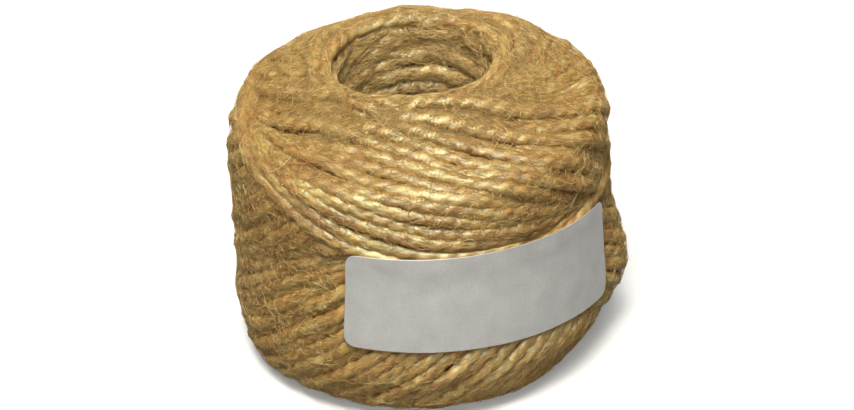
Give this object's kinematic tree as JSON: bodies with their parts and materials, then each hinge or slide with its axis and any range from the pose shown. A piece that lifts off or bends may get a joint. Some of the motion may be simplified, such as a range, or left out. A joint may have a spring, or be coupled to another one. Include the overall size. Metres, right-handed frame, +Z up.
{
  "type": "ball of twine",
  "caption": "Barrel-shaped ball of two-ply jute twine wound round an open bore, standing on its end, with a plain paper label on its side.",
  "frame": {"origin": "centre of the bounding box's bottom, on the surface that the ball stands on", "axes": "+Z up along the winding axis and the bore, -Y towards the viewer, +X to the viewer's right"},
  "size_m": [0.103, 0.1024, 0.0827],
  "materials": {
    "jute_twine": "spun natural jute fibre, hairy, dull with a slight silk sheen along the fibres",
    "label_paper": "smooth coated label paper, satin"
  },
  "bodies": {
    "root": {"twine_ball": "jute_twine", "paper_label": "label_paper"}
  },
  "joints": []
}
